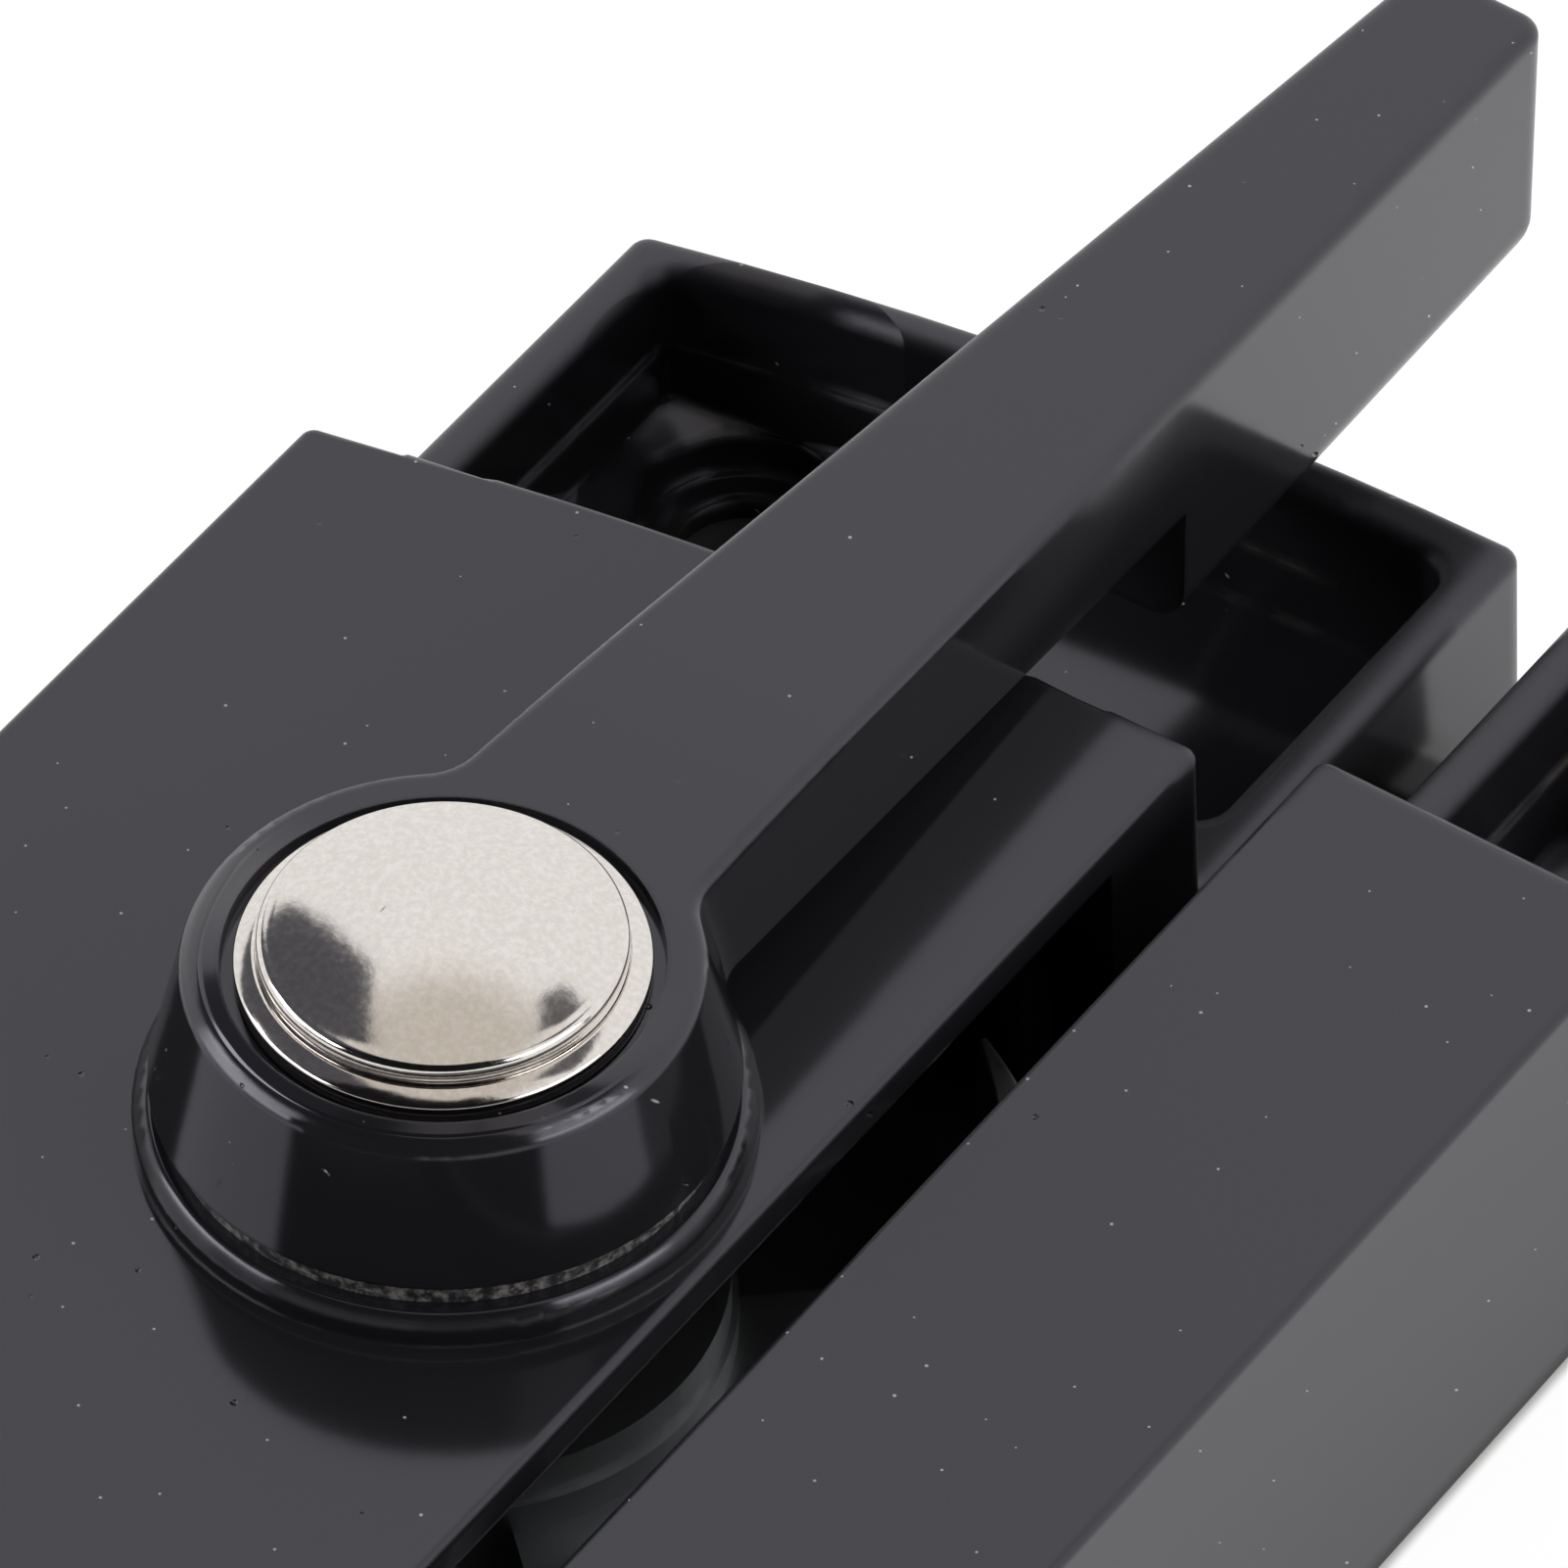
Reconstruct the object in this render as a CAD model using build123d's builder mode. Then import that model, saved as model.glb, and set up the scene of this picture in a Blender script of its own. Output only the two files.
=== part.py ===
"""Cam lock for a horizontal sliding window, with the keeper that stands beside it.

The frame: the pivot's axis meets the window frame at the origin, +Z points out of the window, +X towards
the keeper and +Y along both castings. The lever stands in the locked position, where the crescent reaches
across the gap and behind the keeper's hook.
"""
from build123d import *
from math import cos, radians, sin, sqrt, tan
import os

# Casting practice, shared by both castings
draft = 1.8                      # degrees that every outer wall leans inwards
pocket_draft = 1.0               # degrees that the pockets' walls open upwards
rim_edge_radius = 0.4            # rounding of the ears' rims
outline_corner_radius = 0.9
pocket_corner_radius = 1.2
deck_edge_radius = 0.3
deck_thickness = 1.2

# Lock housing
housing_left = 19.85             # from the pivot to the deck's edge on the room side
housing_right = 9.65             # from the pivot to the deck's edge on the keeper's side
deck_height = 14.0
deck_end = 24.55                 # deck's end, on the keeper's side
deck_end_radius = 116.0          # both ends are bowed, with the bow's top at the keeper's side
housing_wall = 1.6
cavity_corner_radius = 1.0
ear_height = 8.1
ear_end = 41.95
ear_end_radius = 118.0
mouth_half_length = 19.8         # the side opening that the crescent swings out of

# Screw ears
rim_width = 1.3
rim_inner_width = 2.3            # rim between the pocket and the deck's end wall
rim_end_width = 1.65             # rim at the housing's ends
pocket_ledge_depth = 3.2         # the rounded upper part of a pocket
pocket_ledge_width = 0.15
pocket_floor_height = 2.6
screw_x = -13.65                 # one screw to an ear, towards the room side
screw_y = 34.5
screw_hole_radius = 2.2
screw_seat_radius = 3.5
screw_seat_height = 0.8
screw_dish_radius = 5.2          # shallow dish about a seat, which runs into the pocket's walls
screw_dish_slope = 10.0          # degrees

# Deck collar and bearing
collar_radius = 9.05
collar_height = 0.9
collar_edge_radius = 0.4
boss_radius = 6.6
boss_drop = 1.8                  # boss under the deck that lengthens the bearing
shank_radius = 3.0
running_clearance = 0.05
bush_wall = 1.0
friction_washer_radius = 8.15
friction_washer_thickness = 0.95

# Lever
lever_angle = -1.3               # degrees from +Y, towards the keeper
hub_height = 4.65
hub_bottom_radius = 8.55
hub_top_radius = 7.5
arm_half_width = 4.65            # at the pivot's axis, before its taper
arm_taper = 0.045                # half width lost per millimetre of reach
arm_reach = 52.5
arm_flat = 8.0                   # level part of the arm's top, beside the hub
arm_bend_radius = 120.0
arm_dip = 2.8                    # degrees that the rest of the top runs down towards the tip
arm_rise = 0.6                   # arm's underside at the hub, above the hub's
arm_underside_dip = 3.9          # degrees
grip_start = 32.3
grip_depth = 11.1                # from the hub's top to the grip's underside, at its start
grip_underside_dip = 1.0         # degrees
arm_root_radius = 1.8
lever_edge_radius = 0.4
grip_tip_radius = 1.5
tip_corner_radius = 0.9
recess_radius = 6.4
recess_depth = 0.45
lever_square = 6.0               # square drive in the hub, across flats
square_lead = 0.2                # round part of the shank that enters the hub

# Rivet, its washers and the disc spring
head_washer_radius = 6.0
head_washer_thickness = 0.6
neck_radius = 4.2
head_radius = 5.37
head_wall = 1.1                  # straight side of the head, under its dome
head_groove_depth = 0.22
head_groove_width = 0.35
head_groove_rise = 0.3           # from the washer to the groove
dome_rise = 1.0
cam_square = 4.1
square_clearance = 0.04
tail_radius = 1.95
tail_head_radius = 3.1
tail_head_height = 0.8
clamp_washer_radius = 4.0
clamp_washer_thickness = 0.8
clamp_washer_inset = 0.6         # from the cam's underside to the washer
clamp_recess_clearance = 0.2
disc_spring_radius = 5.4
disc_spring_thickness = 0.4
disc_spring_clearance = 0.1
disc_spring_room = 0.9           # from the cam up to the bearing's boss

# Crescent cam, which hangs under the boss on the disc spring
web_thickness = 1.9
web_half_angle = 42.0
crescent_height = 4.8
crescent_radius = 17.95
crescent_hook_clearance = 0.18   # from the hook's corners to the crescent's middle
crescent_half_angle = 64.0
crescent_tip_flat = 0.35
crescent_edge_radius = 0.15
cam_hub_radius = 8.4
cam_hub_height = 3.0
cam_step_inset = 0.2
cam_step_height = 1.4
detent_radius = 5.6
detent_flats = 9.4               # across the two flats
detent_height = 2.5

# Detent spring, drawn as far back as the hub's round pushes it
leaf_thickness = 0.5
leaf_half_angle = 11.5
leaf_radius = 60.0
leaf_clearance = 0.15            # from the leaf to the hub's round corners
leaf_crescent_clearance = 0.35   # from the crescent's upper edge to the leaf
leaf_post_radius = 1.5
leaf_post_y = 11.0
leaf_slot_clearance = 0.05

# Base plate and its rivets
plate_thickness = 1.2
plate_clearance = 0.1
post_radius = 2.0
post_wall_bite = 0.4             # how far a post on the keeper's side runs into the end wall
plate_rivet_radius = 0.9
plate_rivet_head_radius = 1.7
plate_rivet_clearance = 0.03
plate_rivet_depth = 3.0

# Keeper
keeper_gap = 3.35                # between the two decks, with the window shut
keeper_width = 11.55
keeper_step = 0.65               # how far the keeper's deck stands above the lock's
keeper_deck_end = 25.85
keeper_end = 40.8
keeper_ear_height = 8.65
keeper_screw_y = 33.8
keeper_wall = 1.5
keeper_mouth_half_length = 15.0
hook_thickness = 1.0
hook_half_width = 4.4
hook_setback = 0.15              # from the keeper's face to the hook
hook_web_clearance = 0.7         # from the cam's web to the hook's lower edge
hook_flange = 6.6
hook_bend_radius = 0.5
hook_pin_spacing = 5.0
hook_pin_inset = 2.4             # from the flange's free end to its pins
hook_pin_radius = 0.8
hook_pin_clearance = 0.03
hook_pin_head_radius = 1.4
hook_pin_head_height = 0.5

# Places worked out from the sizes above
housing_lean = deck_height * tan(radians(draft))
ear_lean = ear_height * tan(radians(draft))
ceiling = deck_height - deck_thickness
cavity_left = -housing_left + housing_wall
cavity_right = housing_right - housing_wall
cavity_end = deck_end - housing_wall
collar_top = deck_height + collar_height
hub_bottom = collar_top + friction_washer_thickness
hub_top = hub_bottom + hub_height
recess_floor = hub_top - recess_depth
head_bottom = recess_floor + head_washer_thickness
boss_bottom = ceiling - boss_drop
detent_top = boss_bottom - disc_spring_room
cam_step_top = detent_top - detent_height
cam_hub_top = cam_step_top - cam_step_height
cam_bottom = cam_hub_top - cam_hub_height
web_top = cam_bottom + web_thickness
crescent_top = cam_bottom + crescent_height
clamp_washer_bottom = cam_bottom + clamp_washer_inset
clamp_washer_top = clamp_washer_bottom + clamp_washer_thickness
bush_radius = shank_radius + running_clearance
bush_outer_radius = bush_radius + bush_wall
screw_dish_depth = (screw_dish_radius - screw_seat_radius) * tan(radians(screw_dish_slope))
keeper_left = housing_right + keeper_gap
keeper_right = keeper_left + keeper_width
keeper_middle = (keeper_left + keeper_right) / 2
hook_left = keeper_left + hook_setback
hook_right = hook_left + hook_flange
hook_corner = sqrt((hook_left + hook_thickness)**2 + hook_half_width**2)
crescent_inner_x = hook_corner + crescent_hook_clearance
keeper_height = deck_height + keeper_step
keeper_lean = keeper_height * tan(radians(draft))
keeper_ear_lean = keeper_ear_height * tan(radians(draft))
keeper_ceiling = keeper_height - deck_thickness
lever_frame = Plane(origin=(0, 0, 0), x_dir=(cos(radians(lever_angle)), sin(radians(lever_angle)), 0))

BOTTOM_UP = (Align.CENTER, Align.CENTER, Align.MIN)
parts = []


def finish(part, name):
    """Labels a finished piece and keeps it for the export."""
    part.label = name
    parts.append(part)


def bow(x, right, radius):
    """How far a bowed end has fallen back at x, from its top at the keeper's side."""
    if radius is None:
        return 0
    return radius - sqrt(radius**2 - (right - x)**2)


def end_edge(left, right, y, radius):
    """One end of a plan, from its right corner to its left one: bowed, or straight without a radius."""
    side = 1 if y > 0 else -1
    middle = (left + right) / 2
    ends = [(x, y - side * bow(x, right, radius)) for x in (right, middle, left)]
    if radius is None:
        Line(ends[0], ends[2])
    else:
        ThreePointArc(*ends)
    return ends[0], ends[2]


def plan(left, right, near, far, near_radius, far_radius, corner):
    """A closed plan with straight sides and two ends that may be bowed."""
    with BuildSketch() as sketch:
        with BuildLine():
            far_right, far_left = end_edge(left, right, far, far_radius)
            near_right, near_left = end_edge(left, right, near, near_radius)
            Line(near_right, far_right)
            Line(near_left, far_left)
        make_face()
        if corner > 0:
            fillet(sketch.vertices(), corner)
    return sketch.sketch


def drafted_block(outline, height, edge_radius):
    """A block with leaning walls and a rounded upper edge."""
    with BuildPart() as block:
        with BuildSketch():
            add(outline)
        extrude(amount=height, taper=draft)
        fillet(block.faces().sort_by(Axis.Z)[-1].edges(), edge_radius)
    return block.part


def ear_pockets(left, right, near, far, near_radius, far_radius, ear_top, screw):
    """Both ears' pockets as one cutter: a rounded upper part, a ledge, and a lower part with a dished floor."""
    ledge = ear_top - pocket_ledge_depth
    inset = pocket_ledge_width
    upper = plan(left, right, near, far, near_radius, far_radius, pocket_corner_radius)
    lower = plan(left + inset, right - inset, near + inset, far - inset, near_radius, far_radius, 0)
    with BuildPart() as dish:
        with BuildSketch():
            add(lower)
        extrude(amount=pocket_floor_height)
        with Locations((screw[0], screw[1], pocket_floor_height)):
            Cone(screw_seat_radius, screw_dish_radius, screw_dish_depth,
                 align=(Align.CENTER, Align.CENTER, Align.MAX), mode=Mode.INTERSECT)
    with BuildPart() as cutter:
        with BuildSketch(Plane.XY.offset(ledge)):
            add(upper)
        extrude(amount=pocket_ledge_depth, taper=-pocket_draft)
        with BuildSketch(Plane.XY.offset(pocket_floor_height)):
            add(lower)
        extrude(amount=ledge - pocket_floor_height)
        add(dish.part)
        mirror(about=Plane.XZ)
    return cutter.part


def pocket_rims(part, ear_top):
    """The inner edges of both ears' rims."""
    rims = part.faces().filter_by(Plane.XY).filter_by(lambda face: abs(face.center().Z - ear_top) < 0.01)
    return [edge for rim in rims for wire in rim.inner_wires() for edge in wire.edges()]


def screw_holes(x, y):
    """A seat and a clearance hole in each ear, cut in the part that is being built."""
    with Locations((x, y, pocket_floor_height), (x, -y, pocket_floor_height)):
        CounterBoreHole(screw_hole_radius, screw_seat_radius, pocket_floor_height - screw_seat_height,
                        pocket_floor_height)


# Places that the housing shares with its base plate and its detent spring
post_places = []
for side in (1, -1):
    left_y = cavity_end - bow(cavity_left, cavity_right, deck_end_radius) - post_radius
    post_places.append((cavity_left + post_radius, side * left_y))
    post_places.append((cavity_right - post_radius, side * (cavity_end - post_radius + post_wall_bite)))
leaf_bottom = crescent_top + leaf_crescent_clearance
leaf_x = -(detent_radius + leaf_clearance + leaf_thickness / 2)
leaf_post_x = leaf_x - bow(leaf_post_y, 0, leaf_radius)


def leaf_plan(thickness):
    """Plan of the detent spring's leaf, bowed towards the hub."""
    with BuildSketch() as sketch:
        SlotArc(CenterArc((leaf_x - leaf_radius, 0), leaf_radius, -leaf_half_angle, 2 * leaf_half_angle),
                thickness)
    return sketch.sketch


# Housing: one die casting with both screw ears
with BuildPart() as cavity:
    with BuildSketch():
        add(plan(cavity_left, cavity_right, -cavity_end, cavity_end, deck_end_radius, deck_end_radius,
                 cavity_corner_radius))
    extrude(amount=ceiling)
    with BuildSketch():
        with Locations((cavity_right - cavity_corner_radius, 0)):
            Rectangle(2 * housing_wall + cavity_corner_radius, 2 * mouth_half_length,
                      align=(Align.MIN, Align.CENTER))
    extrude(amount=ceiling)

with BuildPart() as housing:
    left = -housing_left - housing_lean
    right = housing_right + housing_lean
    ear_tip = ear_end + ear_lean
    deck_tip = deck_end + housing_lean
    add(drafted_block(plan(left, right, -ear_tip, ear_tip, ear_end_radius, ear_end_radius,
                           outline_corner_radius), ear_height, rim_edge_radius))
    add(ear_pockets(-housing_left + rim_width, housing_right - rim_width, deck_end + rim_inner_width,
                    ear_end - rim_end_width, deck_end_radius, ear_end_radius, ear_height, (screw_x, screw_y)),
        mode=Mode.SUBTRACT)
    fillet(pocket_rims(housing, ear_height), rim_edge_radius)
    add(drafted_block(plan(left, right, -deck_tip, deck_tip, deck_end_radius, deck_end_radius,
                           outline_corner_radius), deck_height, deck_edge_radius))
    with BuildSketch(Plane.XY.offset(deck_height)):
        Circle(collar_radius)
    extrude(amount=collar_height)
    fillet(housing.faces().sort_by(Axis.Z)[-1].edges(), collar_edge_radius)
    add(cavity.part, mode=Mode.SUBTRACT)
    with BuildSketch(Plane.XY.offset(boss_bottom)):
        Circle(boss_radius)
    extrude(amount=boss_drop)
    with BuildSketch(Plane.XY.offset(plate_thickness)):
        with Locations(*post_places):
            Circle(post_radius)
    extrude(amount=ceiling - plate_thickness)
    with BuildSketch(Plane.XY.offset(leaf_bottom)):
        with Locations((leaf_post_x, leaf_post_y), (leaf_post_x, -leaf_post_y)):
            Circle(leaf_post_radius)
    extrude(amount=ceiling - leaf_bottom)
    with BuildSketch(Plane.XY.offset(leaf_bottom)):
        add(leaf_plan(leaf_thickness + 2 * leaf_slot_clearance))
    extrude(amount=detent_top - leaf_bottom, mode=Mode.SUBTRACT)
    with Locations((0, 0, collar_top)):
        Hole(bush_outer_radius)
    screw_holes(screw_x, screw_y)
    with Locations(*[(x, y, plate_thickness) for x, y in post_places]):
        Cylinder(plate_rivet_radius, plate_rivet_depth, align=BOTTOM_UP, mode=Mode.SUBTRACT)
finish(housing.part, "housing")

# Bush pressed in the deck's bore
with BuildPart() as pivot_bush:
    with BuildSketch(Plane.XY.offset(boss_bottom)):
        Circle(bush_outer_radius)
        Circle(bush_radius, mode=Mode.SUBTRACT)
    extrude(amount=collar_top - boss_bottom)
finish(pivot_bush.part, "pivot_bush")

# Plastic washer between the collar and the lever's hub
with BuildPart() as friction_washer:
    with BuildSketch(Plane.XY.offset(collar_top)):
        Circle(friction_washer_radius)
        Circle(bush_radius, mode=Mode.SUBTRACT)
    extrude(amount=friction_washer_thickness)
finish(friction_washer.part, "friction_washer")

# Lever: conical hub, tapered arm and deeper finger grip, one casting
tip_half_width = arm_half_width - arm_taper * arm_reach
arm_axis = Axis((0, 0, 0), tuple(lever_frame.y_dir))
bend_end = arm_flat + arm_bend_radius * sin(radians(arm_dip))
bend_drop = arm_bend_radius * (1 - cos(radians(arm_dip)))
tip_top = hub_top - bend_drop - (arm_reach - bend_end) * tan(radians(arm_dip))
arm_bottom = hub_bottom + arm_rise
step_bottom = arm_bottom - grip_start * tan(radians(arm_underside_dip))
grip_bottom = hub_top - grip_depth
tip_bottom = grip_bottom - (arm_reach - grip_start) * tan(radians(grip_underside_dip))

with BuildPart() as arm:
    with BuildSketch(lever_frame):
        with BuildLine():
            Polyline((-arm_half_width, 0), (arm_half_width, 0), (tip_half_width, arm_reach),
                     (-tip_half_width, arm_reach), close=True)
        make_face()
    extrude(amount=2 * hub_top)
    with BuildSketch(Plane(origin=(0, 0, 0), x_dir=lever_frame.y_dir, z_dir=lever_frame.x_dir)):
        with BuildLine():
            Line((0, hub_top), (arm_flat, hub_top))
            TangentArc((arm_flat, hub_top), (bend_end, hub_top - bend_drop), tangent=(1, 0))
            Polyline((bend_end, hub_top - bend_drop), (arm_reach, tip_top), (arm_reach, tip_bottom),
                     (grip_start, grip_bottom), (grip_start, step_bottom), (0, arm_bottom), (0, hub_top))
        make_face()
    extrude(amount=2 * arm_half_width, both=True, mode=Mode.INTERSECT)


def square_hole(width, bottom, depth):
    """A square drive hole, cut in the part that is being built."""
    side = width + 2 * square_clearance
    with Locations(lever_frame.offset(bottom)):
        Box(side, side, depth, align=BOTTOM_UP, mode=Mode.SUBTRACT)


with BuildPart() as lever:
    with BuildSketch(lever_frame.offset(hub_bottom)):
        Circle(hub_bottom_radius)
    with BuildSketch(lever_frame.offset(hub_top)):
        Circle(hub_top_radius)
    loft()
    add(arm.part)
    fillet(lever.edges().filter_by(GeomType.HYPERBOLA), arm_root_radius)
    tip_face = lever.faces().sort_by(arm_axis)[-1]
    fillet(tip_face.edges().filter_by(Axis.Z), tip_corner_radius)
    fillet(lever.faces().sort_by(arm_axis)[-1].edges().sort_by(Axis.Z)[0], grip_tip_radius)
    tops = lever.faces().filter_by(lambda face: face.normal_at().Z > 0.9)
    outline = [edge for edge in lever.edges() if sum(edge in face.edges() for face in tops) == 1]
    fillet(outline, lever_edge_radius)
    with Locations((0, 0, hub_top)):
        CounterBoreHole(shank_radius + running_clearance, recess_radius, recess_depth, hub_height)
    square_hole(lever_square, hub_bottom + square_lead, hub_height)
finish(lever.part, "lever")

# Washer under the rivet's head
with BuildPart() as head_washer:
    with BuildSketch(Plane.XY.offset(recess_floor)):
        Circle(head_washer_radius)
        Circle(neck_radius + running_clearance, mode=Mode.SUBTRACT)
    extrude(amount=head_washer_thickness)
    fillet(head_washer.edges().filter_by(GeomType.CIRCLE).group_by(SortBy.RADIUS)[-1].sort_by(Axis.Z)[-1],
           head_washer_thickness / 3)
finish(head_washer.part, "head_washer")

# Rivet: domed head, square drives for the lever and the cam, and the tail that is set over a washer
head_top = head_bottom + head_wall
groove_bottom = head_bottom + head_groove_rise
groove_top = groove_bottom + head_groove_width
groove_radius = head_radius - head_groove_depth
tail_bottom = clamp_washer_bottom - tail_head_height
lever_square_bottom = hub_bottom + square_lead
dome_radius = (head_radius**2 + dome_rise**2) / (2 * dome_rise)
dome_side = (head_radius / 2, head_top + dome_rise - bow(head_radius / 2, 0, dome_radius))
with BuildPart() as pivot_rivet:
    with BuildSketch(Plane.XZ):
        with BuildLine():
            ThreePointArc((head_radius, head_top), dome_side, (0, head_top + dome_rise))
            Polyline((0, head_top + dome_rise), (0, tail_bottom), (tail_head_radius, tail_bottom),
                     (tail_head_radius, clamp_washer_bottom), (tail_radius, clamp_washer_bottom),
                     (tail_radius, detent_top), (shank_radius, detent_top),
                     (shank_radius, lever_square_bottom), (tail_radius, lever_square_bottom),
                     (tail_radius, recess_floor), (neck_radius, recess_floor),
                     (neck_radius, head_bottom), (head_radius, head_bottom), (head_radius, groove_bottom),
                     (groove_radius, groove_bottom), (groove_radius, groove_top),
                     (head_radius, groove_top), (head_radius, head_top))
        make_face()
    revolve(axis=Axis.Z)
    with BuildSketch(lever_frame.offset(lever_square_bottom)):
        Rectangle(lever_square, lever_square)
    extrude(amount=recess_floor - lever_square_bottom)
    with BuildSketch(lever_frame.offset(clamp_washer_top)):
        Rectangle(cam_square, cam_square)
    extrude(amount=detent_top - clamp_washer_top)
finish(pivot_rivet.part, "pivot_rivet")

# Crescent cam: hub, web and the tapering rim that draws the keeper in
horn = (cos(radians(crescent_half_angle)), sin(radians(crescent_half_angle)))
horn_inner_radius = crescent_radius - crescent_tip_flat
web_edge = (crescent_radius * cos(radians(web_half_angle)), crescent_radius * sin(radians(web_half_angle)))


def crescent_plan():
    """Plan of the rim: round about the pivot outside, and a flatter arc inside."""
    outer = (crescent_radius * horn[0], crescent_radius * horn[1])
    inner = (horn_inner_radius * horn[0], horn_inner_radius * horn[1])
    with BuildSketch() as sketch:
        with BuildLine():
            ThreePointArc((outer[0], -outer[1]), (crescent_radius, 0), outer)
            Line(outer, inner)
            ThreePointArc(inner, (crescent_inner_x, 0), (inner[0], -inner[1]))
            Line((inner[0], -inner[1]), (outer[0], -outer[1]))
        make_face()
    return sketch.sketch


with BuildPart() as crescent_cam:
    with BuildSketch(Plane.XY.offset(cam_bottom)):
        Circle(cam_hub_radius)
    extrude(amount=cam_hub_height)
    with BuildSketch(Plane.XY.offset(cam_hub_top)):
        Circle(cam_hub_radius - cam_step_inset)
    extrude(amount=cam_step_height)
    with BuildSketch(Plane.XY.offset(cam_step_top)):
        Circle(detent_radius)
        Rectangle(detent_flats, 2 * detent_radius, mode=Mode.INTERSECT)
    extrude(amount=detent_height)
    with BuildSketch(Plane.XY.offset(cam_bottom)):
        with BuildLine():
            Polyline((web_edge[0], web_edge[1]), (0, 0), (web_edge[0], -web_edge[1]))
            ThreePointArc((web_edge[0], -web_edge[1]), (crescent_radius, 0), web_edge)
        make_face()
    extrude(amount=web_thickness)
    with BuildSketch(Plane.XY.offset(cam_bottom)):
        add(crescent_plan())
    extrude(amount=crescent_height)
    upper = crescent_cam.edges().filter_by_position(Axis.Z, crescent_top - 0.01, crescent_top + 0.01)
    fillet(upper.filter_by(GeomType.CIRCLE), crescent_edge_radius)
    with Locations((0, 0, cam_bottom)):
        Cylinder(clamp_washer_radius + clamp_recess_clearance, clamp_washer_top - cam_bottom,
                 align=BOTTOM_UP, mode=Mode.SUBTRACT)
    square_hole(cam_square, cam_bottom, detent_top - cam_bottom)
finish(crescent_cam.part, "crescent_cam")

# Washer that the rivet's tail is set over
with BuildPart() as clamp_washer:
    with BuildSketch(Plane.XY.offset(clamp_washer_bottom)):
        Circle(clamp_washer_radius)
        Circle(tail_radius + running_clearance, mode=Mode.SUBTRACT)
    extrude(amount=clamp_washer_thickness)
finish(clamp_washer.part, "clamp_washer")

# Coned disc spring between the cam and the bearing's boss, which takes up the lever's play
spring_top = boss_bottom - disc_spring_clearance
spring_hole = shank_radius + 2 * running_clearance
with BuildPart() as disc_spring:
    with BuildSketch(Plane.XZ):
        with BuildLine():
            Polyline((disc_spring_radius, detent_top), (disc_spring_radius, detent_top
                     + disc_spring_thickness), (spring_hole, spring_top),
                     (spring_hole, spring_top - disc_spring_thickness), close=True)
        make_face()
    revolve(axis=Axis.Z)
finish(disc_spring.part, "disc_spring")

# Detent spring: a leaf held in two slotted posts, which presses on the flats of the cam's hub
with BuildPart() as detent_spring:
    with BuildSketch(Plane.XY.offset(leaf_bottom)):
        add(leaf_plan(leaf_thickness))
    extrude(amount=detent_top - leaf_bottom)
finish(detent_spring.part, "detent_spring")

# Base plate, let in flush with the mounting face, and the four rivets that hold it
rivet_head_depth = plate_rivet_head_radius - plate_rivet_radius
with BuildPart() as base_plate:
    gap = plate_clearance
    with BuildSketch():
        add(plan(cavity_left + gap, cavity_right, -cavity_end + gap, cavity_end - gap, deck_end_radius,
                 deck_end_radius, cavity_corner_radius))
        with Locations((cavity_right - cavity_corner_radius, 0)):
            Rectangle(housing_wall + cavity_corner_radius, 2 * (mouth_half_length - gap),
                      align=(Align.MIN, Align.CENTER))
    extrude(amount=plate_thickness)
    with Locations(Plane.XY.rotated((180, 0, 0))):
        with Locations(*[(x, y, 0) for x, y in post_places]):
            CounterSinkHole(plate_rivet_radius + plate_rivet_clearance,
                            plate_rivet_head_radius + plate_rivet_clearance, plate_thickness, 90)
finish(base_plate.part, "base_plate")

with BuildPart() as rivet:
    with BuildSketch(Plane.XZ):
        with BuildLine():
            Polyline((0, 0), (plate_rivet_head_radius, 0), (plate_rivet_radius, rivet_head_depth),
                     (plate_rivet_radius, plate_thickness + plate_rivet_depth),
                     (0, plate_thickness + plate_rivet_depth), close=True)
        make_face()
    revolve(axis=Axis.Z)
with BuildPart() as plate_rivets:
    with Locations(*[(x, y, 0) for x, y in post_places]):
        add(rivet.part)
finish(plate_rivets.part, "plate_rivets")

# Hook: a folded steel plate that hangs in the keeper's mouth
hook_bottom = web_top + hook_web_clearance
pin_places = [(hook_right - hook_pin_inset, side * hook_pin_spacing / 2) for side in (1, -1)]
with BuildPart() as keeper_hook:
    with BuildSketch(Plane.XZ.offset(-hook_half_width)):
        with BuildLine():
            Polyline((hook_left, hook_bottom), (hook_left, keeper_ceiling), (hook_right, keeper_ceiling),
                     (hook_right, keeper_ceiling - hook_thickness),
                     (hook_left + hook_thickness, keeper_ceiling - hook_thickness),
                     (hook_left + hook_thickness, hook_bottom), close=True)
        make_face()
    extrude(amount=2 * hook_half_width)
    bends = keeper_hook.edges().filter_by(Axis.Y)
    fillet(bends.filter_by_position(Axis.X, hook_left - 0.01, hook_left + 0.01).sort_by(Axis.Z)[-1],
           hook_bend_radius + hook_thickness)
    fillet(keeper_hook.edges().filter_by(Axis.Y).filter_by_position(
        Axis.X, hook_left + hook_thickness - 0.01, hook_left + hook_thickness + 0.01).sort_by(Axis.Z)[-1],
        hook_bend_radius)
    with Locations(*[(x, y, keeper_ceiling) for x, y in pin_places]):
        Hole(hook_pin_radius + hook_pin_clearance, 2 * hook_thickness)
finish(keeper_hook.part, "keeper_hook")

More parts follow.
